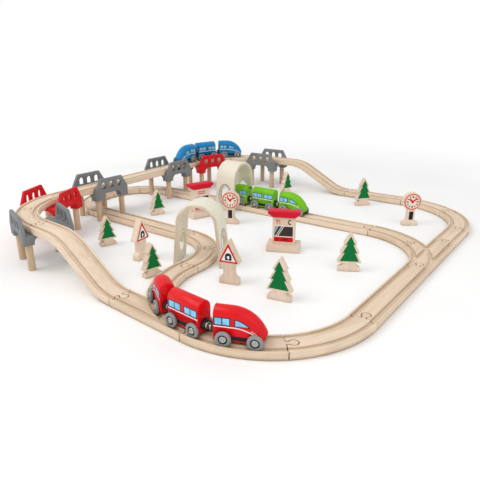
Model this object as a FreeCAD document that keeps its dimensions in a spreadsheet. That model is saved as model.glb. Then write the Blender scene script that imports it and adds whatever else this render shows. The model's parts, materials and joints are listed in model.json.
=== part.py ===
import FreeCAD, Part
import math
import os
import Sketcher
from FreeCAD import Placement, Rotation, Vector

# Wooden train set: an outer loop that climbs onto six bridges, an inner loop
# joined to it by two switches, three three-car trains, and scenery.
# Millimetres, +Z up. The origin is the floor point under the middle of the
# whole layout; +X runs along the front of the loop, +Y towards the back.

doc = FreeCAD.newDocument("wooden_train_set")

# ---------------------------------------------------------------- dimensions

DIMENSIONS = [
    # track cross-section
    ("track_width", 40.0), ("track_thickness", 12.0), ("groove_offset", 13.6),
    ("groove_width", 7.0), ("groove_depth", 3.2), ("joint_gap", 0.8),
    ("bend_gap", 1.4),
    # peg and socket
    ("neck_length", 10.0), ("neck_width", 5.4), ("peg_radius", 5.8),
    ("slot_width", 7.6), ("socket_radius", 6.9),
    # track lengths and radii
    ("long_straight", 216.0), ("switch_length", 144.0), ("back_straight", 144.0),
    ("front_radius", 155.0), ("right_radius", 160.0), ("branch_radius", 139.0),
    ("turn_radius", 107.0), ("branch_sweep", 45.0),
    # ramp
    ("deck_height", 63.0), ("ramp_bend_radius", 91.0), ("ramp_slope", 30.0),
    ("ramp_top_flat", 56.0),
    # where the runs lie: one point and a heading each
    ("front_run_x", 169.0), ("front_run_y", -323.0), ("front_heading", -3.2),
    ("right_run_x", 329.0), ("back_run_y", 439.0), ("back_heading", 182.2),
    ("ramp_heading", 185.6), ("left_run_x", -340.0), ("left_run_y", 50.0),
    ("left_heading", 273.0), ("middle_heading", 182.0), ("left_turn_x", -355.0),
    # bridge
    ("bridge_half_width", 41.5), ("bridge_wall", 5.5), ("bridge_top", 92.0),
    ("bridge_foot", 46.0), ("bridge_waist", 67.0), ("bridge_top_half", 29.0),
    ("bridge_waist_half", 43.5), ("bridge_foot_half", 43.0), ("arch_half", 23.5),
    ("arch_top", 59.6), ("arch_shoulder", 7.0), ("deck_gap", 0.1),
    ("window_width", 11.5), ("window_pitch", 20.0), ("window_sill", 69.0),
    ("window_height", 15.0), ("leg_radius", 6.0), ("leg_half_length", 31.0),
    ("leg_half_width", 31.5), ("leg_height", 54.0), ("leg_clearance", 0.1),
    # car
    ("engine_length", 65.0), ("coach_length", 56.0), ("car_gap", 15.0),
    ("car_width", 22.0), ("car_bottom", 15.5), ("car_top", 57.5),
    ("nose_radius", 46.0), ("nose_tip_height", 26.0), ("nose_tuck", 6.5),
    ("wheelbase", 39.0), ("wheel_radius", 10.0), ("wheel_width", 4.0),
    ("wheel_offset", 13.6), ("wheel_float", 0.15),
    ("recess_radius", 6.0), ("recess_depth", 1.2), ("axle_radius", 1.5),
    ("axle_clearance", 0.05), ("axle_room", 0.5), ("cap_radius", 4.6),
    ("cap_start", 14.4), ("cap_length", 1.9),
    ("sill_width", 10.0), ("sill_height", 8.0), ("sill_inset", 5.0),
    ("fit_clearance", 0.1), ("cup_radius", 6.8), ("cup_height", 26.0),
    ("cup_depth", 5.0), ("cup_proud", 4.5), ("tongue_width", 5.0), ("tongue_height", 3.0),
    ("magnet_radius", 4.4), ("magnet_length", 5.0), ("magnet_proud", 2.0),
    # tunnel
    ("tunnel_height", 109.0), ("tunnel_width", 88.0), ("tunnel_depth", 50.0),
    ("tunnel_crown", 37.0), ("tunnel_wall", 6.5), ("porthole_width", 25.0),
    ("porthole_height", 40.0), ("porthole_centre", 38.0),
    # station
    ("station_base_width", 60.0), ("station_base_depth", 40.0),
    ("station_base_height", 12.0), ("booth_width", 41.0), ("booth_depth", 16.0),
    ("booth_height", 63.0), ("roof_width", 59.0), ("roof_depth", 22.0),
    ("roof_height", 11.5), ("roof_foot_width", 42.0), ("roof_lip", 6.5),
    # fir tree
    ("tree_height", 66.0), ("tree_thickness", 12.0), ("tree_base_half", 18.0),
    ("tree_base_height", 7.0), ("tree_neck_half", 10.5), ("tree_skirt", 15.0),
    ("tree_half", 20.0), ("tree_low_notch", 11.5), ("tree_middle_height", 32.0),
    ("tree_middle_half", 16.0), ("tree_middle_notch", 7.0), ("tree_upper_height", 48.0),
    ("tree_upper_half", 11.0), ("tree_tip_half", 1.5), ("small_tree", 0.86),
    # tunnel sign
    ("sign_height", 73.0), ("sign_board_half", 18.0), ("sign_board_foot", 35.0),
    ("sign_post_half", 9.0), ("sign_foot_half", 16.0), ("sign_foot_height", 10.0),
    ("sign_flare", 8.0), ("sign_thickness", 12.0),
    # clock post
    ("clock_height", 71.0), ("clock_radius", 19.0), ("clock_post_half", 8.0),
    ("clock_foot_half", 16.5), ("clock_foot_height", 8.0), ("clock_flare", 8.0),
    ("clock_thickness", 12.0),
    # where the trains stand: angles round a corner, or distances along a run
    ("red_front_angle", 293.4), ("red_angle_step", 27.9), ("green_start", 178.0),
    ("blue_lead", 20.5), ("blue_coach_angle", 68.7), ("blue_rear_angle", 43.0),
]

sheet = doc.addObject("Spreadsheet::Sheet", "dims")
for row, (alias, value) in enumerate(DIMENSIONS, start=1):
    sheet.set("A%d" % row, alias)
    sheet.set("B%d" % row, str(value))
    sheet.setAlias("B%d" % row, alias)
doc.recompute()


class Size:
    """A number together with the sheet expression that gives it."""

    def __init__(self, value, text):
        self.value = value
        self.text = text

    def joined(self, other, sign, value):
        text = other.text if isinstance(other, Size) else repr(float(other))
        return Size(value, "(%s %s %s)" % (self.text, sign, text))

    def __add__(self, other):
        return self.joined(other, "+", self.value + number(other))

    __radd__ = __add__

    def __sub__(self, other):
        return self.joined(other, "-", self.value - number(other))

    def __mul__(self, other):
        return self.joined(other, "*", self.value * number(other))

    def __truediv__(self, other):
        return self.joined(other, "/", self.value / number(other))

    def __neg__(self):
        return Size(-self.value, "(-1 * %s)" % self.text)


def number(size):
    return size.value if isinstance(size, Size) else float(size)


def dim(alias):
    return Size(float(sheet.get(alias)), "dims." + alias)


def bind(feature, **sizes):
    """Set each property to its size and tie it to the sheet."""
    for name, size in sizes.items():
        setattr(feature, name, number(size))
        if isinstance(size, Size):
            feature.setExpression(name, size.text)
    return feature


UP = Vector(0, 0, 1)
ALONG_X = Rotation(Vector(0, 1, 0), 90)
ALONG_Y = Rotation(Vector(1, 0, 0), -90)


def place(feature, x=0.0, y=0.0, z=0.0, turn=0.0):
    """Put a feature at x, y, z; turn is an angle about z or a whole rotation."""
    rotation = turn if isinstance(turn, Rotation) else Rotation(UP, number(turn))
    feature.Placement = Placement(Vector(number(x), number(y), number(z)), rotation)
    for letter, size in (("x", x), ("y", y), ("z", z)):
        if isinstance(size, Size):
            feature.setExpression("Placement.Base." + letter, size.text)
    return feature


# ------------------------------------------------------ primitives and groups

nodes = []            # the sub-parts that are written out


def box(name, length, width, height, x=0.0, y=0.0, z=0.0):
    feature = bind(doc.addObject("Part::Box", name), Length=length, Width=width, Height=height)
    return place(feature, x, y, z)


def cylinder(name, radius, height, x=0.0, y=0.0, z=0.0, turn=0.0):
    feature = bind(doc.addObject("Part::Cylinder", name), Radius=radius, Height=height)
    return place(feature, x, y, z, turn)


def fuse(name, shapes):
    feature = doc.addObject("Part::MultiFuse", name)
    feature.Shapes = shapes
    return feature


def cut(name, base, tools):
    feature = doc.addObject("Part::Cut", name)
    feature.Base = base
    feature.Tool = tools[0] if len(tools) == 1 else fuse(name + "_tools", tools)
    return feature


def sector(name, radius, height, centre_y, z, sweep, side):
    """A pie slice that starts at the origin's heading and sweeps to one side."""
    feature = bind(doc.addObject("Part::Cylinder", name), Radius=radius, Height=height, Angle=sweep)
    if side > 0:
        return place(feature, 0, centre_y, z, -90)
    mirrored = Rotation(UP, 90) * Rotation(Vector(1, 0, 0), 180)
    return place(feature, 0, -centre_y, z + height, mirrored)


def ring_slice(name, radius, half, height, z, sweep, side):
    """A band of the given half width along an arc of the given radius."""
    outer = sector(name + "_outer", radius + half, height, radius, z, sweep, side)
    inner = sector(name + "_inner", radius - half, height + 2, radius, z - 1, sweep, side)
    return cut(name, outer, [inner])


def node(name, shape_object):
    shape_object.Label = name
    nodes.append(shape_object)
    return shape_object


def linked(name, placed):
    """Copies of masters, from (master, placement) pairs, as one compound."""
    links = []
    for index, (master, placement) in enumerate(placed, start=1):
        link = doc.addObject("App::Link", "%s_%d" % (name, index))
        link.LinkedObject = master
        link.LinkTransform = True
        link.Placement = placement
        links.append(link)
    group = doc.addObject("Part::Compound", name + "_group")
    group.Links = links
    return group


def at(x, y, heading=0.0, z=0.0):
    return Placement(Vector(x, y, z), Rotation(UP, heading))


# ------------------------------------------------------------------- sketches

def origin_plane(body, role):
    return next(item for item in body.Origin.OriginFeatures if item.Role == role)


def new_body(name):
    return doc.addObject("PartDesign::Body", name)


def sketch_on(body, role, name):
    sketch = body.newObject("Sketcher::SketchObject", name)
    sketch.AttachmentSupport = [(origin_plane(body, role), "")]
    sketch.MapMode = "FlatFace"
    return sketch


def pin(sketch, geometry, end, kind, size):
    """Hold one coordinate of a point of a sketch element at a size."""
    if abs(number(size)) < 1e-9:
        axis = -2 if kind == "DistanceX" else -1
        sketch.addConstraint(Sketcher.Constraint("PointOnObject", geometry, end, axis))
        return
    row = sketch.addConstraint(Sketcher.Constraint(kind, -1, 1, geometry, end, number(size)))
    if isinstance(size, Size):
        sketch.setExpression("Constraints[%d]" % row, size.text)


def pin_point(sketch, geometry, end, point):
    pin(sketch, geometry, end, "DistanceX", point[0])
    pin(sketch, geometry, end, "DistanceY", point[1])


def pin_centre(sketch, geometry, centre, chord):
    """An arc with held ends needs one more: its centre's place along the bisector."""
    if abs(chord.x) > abs(chord.y):
        pin(sketch, geometry, 3, "DistanceY", centre.y)
    else:
        pin(sketch, geometry, 3, "DistanceX", centre.x)


def round_stretch(start, middle, end):
    """The counter-clockwise arc through three points, and whether it runs backwards."""
    circle = Part.Arc(start, middle, end).toShape().Curve
    centre = circle.Center
    backwards = (middle - start).cross(end - middle).z < 0
    first, last = (end, start) if backwards else (start, end)
    angles = [math.atan2(point.y - centre.y, point.x - centre.x) for point in (first, last)]
    if angles[1] < angles[0]:
        angles[1] += 2 * math.pi
    return Part.ArcOfCircle(Part.Circle(centre, UP, circle.Radius), *angles), backwards


def outline_sketch(body, role, name, steps):
    """A closed outline with its corners tied to the sheet. Each step is the point
    it starts from and, for a round stretch, a point that its arc passes through."""
    sketch = sketch_on(body, role, name)
    flat = [Vector(number(x), number(y), 0) for (x, y), _ in steps]
    for index, (point, through) in enumerate(steps):
        following = (index + 1) % len(steps)
        start_end, finish_end = 1, 2
        if through is None:
            shape = Part.LineSegment(flat[index], flat[following])
        else:
            middle = Vector(number(through[0]), number(through[1]), 0)
            shape, backwards = round_stretch(flat[index], middle, flat[following])
            if backwards:
                start_end, finish_end = 2, 1
        sketch.addGeometry(shape, False)
        pin_point(sketch, index, start_end, point)
        pin_point(sketch, index, finish_end, steps[following][0])
        if through is not None:
            pin_centre(sketch, index, shape.Center, flat[following] - flat[index])
    return sketch


def pad(body, sketch, name, length, symmetric=True):
    feature = body.newObject("PartDesign::Pad", name)
    feature.Profile = sketch
    feature.Midplane = symmetric
    return bind(feature, Length=length)


# --------------------------------------------------------------------- layout
# Every run is a straight line; tangent arcs join the runs. A pose is
# (x, y, heading in degrees) at the start of a piece. The layout is worked out
# about a point midway between the long runs and moved to its middle at the end.

def step(point, heading, distance):
    angle = math.radians(heading)
    return (point[0] + distance * math.cos(angle), point[1] + distance * math.sin(angle))


def left_of(point, heading, distance):
    return step(point, heading + 90, distance)


def crossing(point_a, heading_a, point_b, heading_b):
    """Where two lines meet."""
    ax, ay = math.cos(math.radians(heading_a)), math.sin(math.radians(heading_a))
    bx, by = math.cos(math.radians(heading_b)), math.sin(math.radians(heading_b))
    dx, dy = point_b[0] - point_a[0], point_b[1] - point_a[1]
    along = (dx * by - dy * bx) / (ax * by - ay * bx)
    return (point_a[0] + along * ax, point_a[1] + along * ay)


def turn_between(heading_a, heading_b):
    return (heading_b - heading_a + 180) % 360 - 180


def distance(point_a, point_b):
    return math.hypot(point_b[0] - point_a[0], point_b[1] - point_a[1])


gap = number(dim("joint_gap"))
bend_gap = number(dim("bend_gap"))
long_straight = number(dim("long_straight"))
switch_length = number(dim("switch_length"))
front_heading = number(dim("front_heading"))
back_heading = number(dim("back_heading"))
ramp_heading = number(dim("ramp_heading"))
left_heading = number(dim("left_heading"))
middle_heading = number(dim("middle_heading"))
front_radius = number(dim("front_radius"))
right_radius = number(dim("right_radius"))
branch_radius = number(dim("branch_radius"))
turn_radius = number(dim("turn_radius"))

# front corner, between the front run and the right run
front_corner = crossing((number(dim("front_run_x")), number(dim("front_run_y"))), front_heading,
                        (number(dim("right_run_x")), 0), 90)
front_turn = turn_between(front_heading, 90)
front_tangent = front_radius * math.tan(math.radians(front_turn) / 2)
front_start = step(front_corner, front_heading, -front_tangent)
front_end = step(front_corner, 90, front_tangent)
front_centre = left_of(front_start, front_heading, front_radius)

# the second switch and the left ramp lie on the front run, behind the corner
switch_b_start = step(front_start, front_heading, -(switch_length + gap))
left_ramp_start = step(switch_b_start, front_heading, -(long_straight + gap))

# right corner
right_corner = crossing((number(dim("right_run_x")), 0), 90,
                        (0, number(dim("back_run_y"))), back_heading)
right_turn = turn_between(90, back_heading)
right_tangent = right_radius * math.tan(math.radians(right_turn) / 2)
right_start = step(right_corner, 90, -right_tangent)
right_end = step(right_corner, back_heading, right_tangent)

# back run and back ramp
back_ramp_start = step(right_end, back_heading, number(dim("back_straight")) + bend_gap)
back_ramp_end = step(back_ramp_start, ramp_heading, long_straight + gap)

# raised left run: its corners take the radius that meets both ramps
left_line = (number(dim("left_run_x")), number(dim("left_run_y")))
back_corner = crossing(back_ramp_end, ramp_heading, left_line, left_heading)
back_turn = turn_between(ramp_heading, left_heading)
back_tangent = distance(back_ramp_end, back_corner)
back_radius = back_tangent / math.tan(math.radians(back_turn) / 2)
back_end = step(back_corner, left_heading, back_tangent)
back_centre = left_of(back_ramp_end, ramp_heading, back_radius)
left_corner = crossing(left_line, left_heading, left_ramp_start, front_heading)
left_turn = turn_between(left_heading, front_heading)
left_tangent = distance(left_corner, left_ramp_start)
left_radius = left_tangent / math.tan(math.radians(left_turn) / 2)
left_start = step(left_corner, left_heading, -left_tangent)
left_centre = left_of(left_start, left_heading, left_radius)
raised_length = distance(back_end, left_start)

# first switch on the right run, and the short piece that fills up to the corner
switch_a_start = step(front_end, 90, long_straight + gap)
switch_a_end = step(switch_a_start, 90, switch_length + gap)
filler_length = distance(switch_a_end, right_start)

# inner loop: switch branch, long middle run, left turn, lower run, right turn
branch_a_centre = left_of(switch_a_start, 90, branch_radius)
middle_start = step(branch_a_centre, 90, branch_radius)
middle_end = crossing(middle_start, middle_heading, (number(dim("left_turn_x")), 0), 90)
middle_length = distance(middle_start, middle_end)
switch_b_mid = step(front_centre, front_heading + 225, front_radius)
join_centre = step(switch_b_mid, front_heading + 45, branch_radius)
join_start = step(join_centre, front_heading + 180, branch_radius)
turn_centre = step(join_start, front_heading + 180, turn_radius)
lower_end = step(turn_centre, 90, turn_radius)
left_turn_radius = (lower_end[1] - middle_end[1]) / (
    math.sin(math.radians(middle_heading + 90)) - 1)
left_turn_centre = left_of(middle_end, middle_heading, left_turn_radius)
lower_start = step(left_turn_centre, -90, left_turn_radius)
lower_length = distance(lower_start, lower_end)


def gap_angle(radius):
    """The turn that the gap between two curved pieces takes up."""
    return math.degrees(gap / radius)


# the solved values that pieces need are kept in the sheet beside the others
SOLVED = [
    ("front_sweep", front_turn / 2 - gap_angle(front_radius)),
    ("right_sweep", right_turn / 2 - gap_angle(right_radius)),
    ("back_radius", back_radius),
    ("back_sweep", back_turn / 2 - gap_angle(back_radius)),
    ("left_radius", left_radius),
    ("left_sweep", left_turn / 2 - gap_angle(left_radius)),
    ("filler_length", filler_length - gap),
    ("raised_end_length", (raised_length - long_straight - gap) / 2 - gap),
    ("middle_end_length", middle_length - 2 * (long_straight + gap) - bend_gap),
    ("left_turn_radius", left_turn_radius),
    ("left_turn_sweep", (360 - middle_heading) / 4 - gap_angle(left_turn_radius)),
    ("lower_end_length", lower_length - long_straight - 2 * gap),
    ("turn_sweep", (90 - front_heading) / 2 - gap_angle(turn_radius)),
    ("inner_branch_sweep", 45 - gap_angle(branch_radius)),
    ("layout_middle_x", (left_turn_centre[0] - left_turn_radius
                         + number(dim("right_run_x"))) / 2),
    ("layout_middle_y", (front_centre[1] - front_radius
                         + right_start[1] + right_radius) / 2),
]
for row, (alias, value) in enumerate(SOLVED, start=len(DIMENSIONS) + 1):
    sheet.set("A%d" % row, alias)
    sheet.set("B%d" % row, "%.6f" % value)
    sheet.setAlias("B%d" % row, alias)
doc.recompute()

LAYOUT = at(-number(dim("layout_middle_x")), -number(dim("layout_middle_y")))


def copies(name, placed):
    """A sub-part made of separate solids, moved with the whole layout."""
    return node(name, linked(name, [(master, LAYOUT * spot) for master, spot in placed]))


# --------------------------------------------------------------------- tracks
# A piece starts at its socket end, at the origin, heading along +X.

width = dim("track_width")
thick = dim("track_thickness")
neck = dim("neck_length")
groove_half = dim("groove_width") / 2
groove_floor = thick - dim("groove_depth")
groove_height = dim("groove_depth") + 1
centre_y = dim("groove_offset")


def turned(feature, x, y, z, spot):
    """Place a feature at x, y in the frame of a spot: (x, y, turn)."""
    spot_x, spot_y, turn = spot
    if turn == 0:
        return place(feature, spot_x + x, spot_y + y, z)
    away = step((number(spot_x), number(spot_y)), turn, number(x))
    return place(feature, *left_of(away, turn, number(y)), z, turn)


def peg(name, spot, z=0.0):
    """A dog-bone peg that stands out of the end of a piece."""
    shank = box(name + "_neck", neck + 2, dim("neck_width"), thick)
    head = cylinder(name + "_head", dim("peg_radius"), thick)
    return [turned(shank, -2.0, -dim("neck_width") / 2, z, spot), turned(head, neck, 0.0, z, spot)]


def socket(name, spot, z=0.0):
    """The keyhole that a peg drops into, running inwards from the end."""
    slot = box(name + "_slot", neck + 2, dim("slot_width"), thick + 8)
    hole = cylinder(name + "_hole", dim("socket_radius"), thick + 8)
    return [turned(slot, -2.0, -dim("slot_width") / 2, z - 4, spot),
            turned(hole, neck - dim("joint_gap"), 0.0, z - 4, spot)]


def straight_grooves(name, length):
    return [
        box(name + "_groove_left", length + 2, dim("groove_width"), groove_height,
            -1, centre_y - groove_half, groove_floor),
        box(name + "_groove_right", length + 2, dim("groove_width"), groove_height,
            -1, -centre_y - groove_half, groove_floor),
    ]


def curved_grooves(name, radius, sweep, side):
    grooves = []
    for offset, label in ((centre_y, "outer"), (-centre_y, "inner")):
        outer = sector("%s_%s_far" % (name, label), radius + offset + groove_half,
                       groove_height, radius, groove_floor, sweep, side)
        inner = sector("%s_%s_near" % (name, label), radius + offset - groove_half,
                       groove_height + 2, radius, groove_floor - 1, sweep, side)
        grooves.append(cut("%s_%s_groove" % (name, label), outer, [inner]))
    return grooves


START = (0.0, 0.0, 0.0)


def straight_track(name, length):
    plank = box(name + "_plank", length, width, thick, 0, -width / 2, 0)
    whole = fuse(name + "_whole", [plank] + peg(name + "_peg", (length, 0.0, 0)))
    return cut(name, whole, straight_grooves(name, length) + socket(name + "_socket", START))


def curve_end(radius, sweep, side):
    """The far end of a curve that starts at the origin heading along +X."""
    angle = math.radians(number(sweep))
    size = number(radius)
    return size * math.sin(angle), side * size * (1 - math.cos(angle)), side * number(sweep)


def curved_track(name, radius, sweep, side=1):
    band = ring_slice(name + "_band", radius, width / 2, thick, 0, sweep, side)
    whole = fuse(name + "_whole", [band] + peg(name + "_peg", curve_end(radius, sweep, side)))
    tools = curved_grooves(name, radius, sweep, side) + socket(name + "_socket", START)
    return cut(name, whole, tools)


def switch_track(name, radius, side, single_end_is_peg):
    """A straight and a branch that share the end at the origin."""
    length = dim("switch_length")
    sweep = dim("branch_sweep")
    plank = box(name + "_plank", length, width, thick, 0, -width / 2, 0)
    band = ring_slice(name + "_band", radius, width / 2, thick, 0, sweep, side)
    branch_x, branch_y, branch_turn = curve_end(radius, sweep, side)
    tools = straight_grooves(name, length) + curved_grooves(name, radius, sweep, side)
    solids = [plank, band]
    if single_end_is_peg:
        solids += peg(name + "_peg", (0.0, 0.0, 180))
        tools += socket(name + "_main_socket", (number(length), 0.0, 180))
        tools += socket(name + "_branch_socket", (branch_x, branch_y, branch_turn + 180))
    else:
        solids += peg(name + "_main_peg", (length, 0.0, 0))
        solids += peg(name + "_branch_peg", (branch_x, branch_y, branch_turn))
        tools += socket(name + "_socket", START)
    return cut(name, fuse(name + "_whole", solids), tools)


def extruded(name, role, steps, length):
    """A body padded evenly to both sides of one of its own planes."""
    body = new_body(name)
    pad(body, outline_sketch(body, role, name + "_outline", steps), name + "_pad", length)
    return body


def ramp_outline(lower, upper, over):
    """The ramp's side view between two heights above its underside, which runs
    flat, curves up, climbs, curves back and runs flat again."""
    bend = number(dim("ramp_bend_radius"))
    slope = math.radians(number(dim("ramp_slope")))
    rise = number(dim("deck_height"))
    top_start = long_straight - number(dim("ramp_top_flat"))
    bend_rise = bend * (1 - math.cos(slope))
    climb = (rise - 2 * bend_rise) / math.tan(slope)
    foot = top_start - 2 * bend * math.sin(slope) - climb

    def low(height, angle):
        return (foot + (bend - height) * math.sin(angle), bend - (bend - height) * math.cos(angle))

    def high(height, angle):
        reach = bend + height
        return (top_start - reach * math.sin(angle), rise - bend + reach * math.cos(angle))

    middle = slope / 2
    return [
        ((-over, lower), None), ((foot, lower), low(lower, middle)), (low(lower, slope), None),
        (high(lower, slope), high(lower, middle)), ((top_start, rise + lower), None),
        ((long_straight + over, rise + lower), None), ((long_straight + over, rise + upper), None),
        ((top_start, rise + upper), high(upper, middle)), (high(upper, slope), None),
        (low(upper, slope), low(upper, middle)), ((foot, upper), None), ((-over, upper), None),
    ]


def ramp_track(name, climbs):
    """A ramp whose low end is at the origin; it has a socket where travel starts."""
    slab = extruded(name + "_slab", "XZ_Plane", ramp_outline(0, number(thick), 0), width)
    groove = extruded(name + "_groove", "XZ_Plane",
                      ramp_outline(number(groove_floor), number(thick) + 1, 1),
                      dim("groove_width"))
    grooves = linked(name + "_grooves", [(groove, at(0, number(centre_y))),
                                         (groove, at(0, -number(centre_y)))])
    top = dim("deck_height")
    if climbs:
        pegs = peg(name + "_peg", (dim("long_straight"), 0.0, 0), top)
        tools = [grooves] + socket(name + "_socket", START)
    else:
        pegs = peg(name + "_peg", (0.0, 0.0, 180))
        tools = [grooves] + socket(name + "_socket", (long_straight, 0.0, 180), top)
    return cut(name, fuse(name + "_whole", [slab] + pegs), tools)


class Run:
    """Lays pieces end to end from a pose."""

    def __init__(self, point, heading, height=0.0):
        self.point = point
        self.heading = heading
        self.height = height

    def straight(self, group, master, length, space=gap):
        group.append((master, at(*self.point, self.heading, self.height)))
        self.point = step(self.point, self.heading, length + space)

    def curve(self, group, master, radius, sweep):
        """Positive sweeps turn left. The sweep includes the gap that follows."""
        group.append((master, at(*self.point, self.heading, self.height)))
        turn = math.copysign(radius, sweep)
        centre = left_of(self.point, self.heading, turn)
        self.heading += sweep
        self.point = left_of(centre, self.heading, -turn)


long_track = straight_track("long_track", dim("long_straight"))
straights = []
corners = []
inner_curves = []
deck = number(dim("deck_height"))

run = Run(front_start, front_heading)
front_curve = curved_track("front_curve", dim("front_radius"), dim("front_sweep"))
for _ in range(2):
    run.curve(corners, front_curve, front_radius, front_turn / 2)
run.straight(straights, long_track, long_straight)

run = Run(switch_a_end, 90)
run.straight(straights, straight_track("filler_track", dim("filler_length")), filler_length)
run = Run(right_start, 90)
right_curve = curved_track("right_curve", dim("right_radius"), dim("right_sweep"))
for _ in range(2):
    run.curve(corners, right_curve, right_radius, right_turn / 2)
run.straight(straights, straight_track("back_track", dim("back_straight")),
             number(dim("back_straight")))

run = Run(back_ramp_end, ramp_heading, deck)
back_curve = curved_track("back_curve", dim("back_radius"), dim("back_sweep"))
for _ in range(2):
    run.curve(corners, back_curve, back_radius, back_turn / 2)
raised_end_track = straight_track("raised_end_track", dim("raised_end_length"))
raised_end_length = number(dim("raised_end_length"))
run.straight(straights, raised_end_track, raised_end_length)
run.straight(straights, long_track, long_straight)
run.straight(straights, raised_end_track, raised_end_length)
left_curve = curved_track("left_curve", dim("left_radius"), dim("left_sweep"))
run = Run(left_start, left_heading, deck)
for _ in range(2):
    run.curve(corners, left_curve, left_radius, left_turn / 2)

branch_curve = curved_track("branch_curve", dim("branch_radius"), dim("inner_branch_sweep"))
run = Run(left_of(branch_a_centre, 135, -branch_radius), 135)
run.curve(inner_curves, branch_curve, branch_radius, 45)
run = Run(step(middle_start, middle_heading, bend_gap - gap), middle_heading)
run.straight(straights, long_track, long_straight)
run.straight(straights, long_track, long_straight)
run.straight(straights, straight_track("middle_end_track", dim("middle_end_length")), 0)
run = Run(middle_end, middle_heading)
left_turn_curve = curved_track("left_turn_curve", dim("left_turn_radius"), dim("left_turn_sweep"))
for _ in range(4):
    run.curve(inner_curves, left_turn_curve, left_turn_radius, (360 - middle_heading) / 4)
run.straight(straights, straight_track("lower_end_track", dim("lower_end_length")),
             number(dim("lower_end_length")))
run.straight(straights, long_track, long_straight)
run = Run(lower_end, 0)
turn_curve = curved_track("turn_curve", dim("turn_radius"), dim("turn_sweep"), -1)
for _ in range(2):
    run.curve(inner_curves, turn_curve, turn_radius, -(90 - front_heading) / 2)
run.curve(inner_curves, branch_curve, branch_radius, 45)

copies("straight_tracks", straights)
copies("corner_curves", corners)
copies("inner_curves", inner_curves)
copies("switch_left", [(switch_track("left_switch", dim("branch_radius"), 1, False),
                        at(*switch_a_start, 90))])
copies("switch_right", [(switch_track("right_switch", dim("front_radius"), -1, True),
                         at(*step(front_start, front_heading, -gap), front_heading + 180))])
copies("ramp_tracks", [
    (ramp_track("back_ramp", True), at(*back_ramp_start, ramp_heading)),
    (ramp_track("left_ramp", False),
     at(*step(left_ramp_start, front_heading, long_straight), front_heading + 180)),
])

# -------------------------------------------------------------------- bridges
# A bridge stands on four dowels, with the raised track between its side walls.
# Its frame has X along the track and its origin on the floor.

bridge_half_width = dim("bridge_half_width")
bridge_foot = dim("bridge_foot")
channel_floor = dim("deck_height") - dim("deck_gap")


def bridge_side():
    """The side wall's outline: two feet with an arch between them, a waist that
    is wider than the feet, and a narrower top."""
    foot = dim("bridge_foot_half")
    arch = dim("arch_half")
    shoulder = number(arch) - number(dim("arch_shoulder"))
    arch_top = dim("arch_top")
    bend = (number(arch) - 2.0, number(arch_top) - 4.0)
    return [
        ((foot, bridge_foot), None), ((dim("bridge_waist_half"), dim("bridge_waist")), None),
        ((dim("bridge_top_half"), dim("bridge_top")), None),
        ((-dim("bridge_top_half"), dim("bridge_top")), None),
        ((-dim("bridge_waist_half"), dim("bridge_waist")), None), ((-foot, bridge_foot), None),
        ((-arch, bridge_foot), (-bend[0], bend[1])), ((-shoulder, arch_top), None),
        ((shoulder, arch_top), bend), ((arch, bridge_foot), None),
    ]


def arch_outline():
    """The opening between the feet, for the two ends of the bridge."""
    arch = number(dim("arch_half"))
    shoulder = arch - number(dim("arch_shoulder"))
    top = number(dim("arch_top"))
    below = number(bridge_foot) - 1
    return [((-arch, below), None), ((arch, below), (arch - 2.0, top - 4.0)),
            ((shoulder, top), None), ((-shoulder, top), (2.0 - arch, top - 4.0))]


def bridge_windows(name):
    """Three openings with round tops through both walls."""
    tools = []
    through = bridge_half_width * 2 + 2
    half = dim("window_width") / 2
    straight = dim("window_height") - half
    for index in (-1, 0, 1):
        middle = dim("window_pitch") * index
        label = "%s_window_%d" % (name, index + 2)
        tools.append(box(label, dim("window_width"), through, straight,
                         middle - half, -through / 2, dim("window_sill")))
        tools.append(cylinder(label + "_top", half, through, middle, -through / 2,
                              dim("window_sill") + straight, ALONG_Y))
    return tools


def leg_spots():
    for side_x in (-1, 1):
        for side_y in (-1, 1):
            yield dim("leg_half_length") * side_x, dim("leg_half_width") * side_y


def bridge_body():
    block = extruded("bridge_block", "XZ_Plane", bridge_side(), bridge_half_width * 2)
    cross_arch = extruded("bridge_cross_arch", "YZ_Plane", arch_outline(), 120.0)
    channel_half = bridge_half_width - dim("bridge_wall")
    tools = [cross_arch, box("bridge_channel", 120, channel_half * 2, 60, -60,
                             -channel_half, channel_floor)]
    tools += bridge_windows("bridge")
    for index, (x, y) in enumerate(leg_spots(), start=1):
        tools.append(cylinder("bridge_leg_hole_%d" % index,
                              dim("leg_radius") + dim("leg_clearance"),
                              dim("leg_height") + dim("leg_clearance") - bridge_foot + 1,
                              x, y, bridge_foot - 1))
    return cut("bridge_body", block, tools)


GREY_BRIDGES = [(-208.0, -288.0, -17.0), (-347.0, -56.5, 270.0), (-357.0, 165.1, 270.5),
                (-216.0, 412.5, 186.5)]
RED_BRIDGES = [(-320.0, -194.5, 296.0), (-340.0, 292.5, 252.0)]

bridge = bridge_body()
leg = cylinder("bridge_leg", dim("leg_radius"), dim("leg_height"))
copies("bridge_bodies_grey", [(bridge, at(*spot)) for spot in GREY_BRIDGES])
copies("bridge_bodies_red", [(bridge, at(*spot)) for spot in RED_BRIDGES])
legs = []
for spot in GREY_BRIDGES + RED_BRIDGES:
    for x, y in leg_spots():
        legs.append((leg, at(*spot) * Placement(Vector(number(x), number(y), 0), Rotation())))
copies("bridge_legs", legs)

# -------------------------------------------------------------------- scenery
# Each piece faces -Y in its own frame, so its heading is that of its +X side.


def tangent_point(radius, centre_height, foot_x):
    """Where a line from the foot touches the crown's circle, on the right side."""
    reach = math.hypot(foot_x, centre_height)
    angle = math.atan2(-centre_height, foot_x) + math.acos(radius / reach)
    return (radius * math.cos(angle), centre_height + radius * math.sin(angle))


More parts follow.
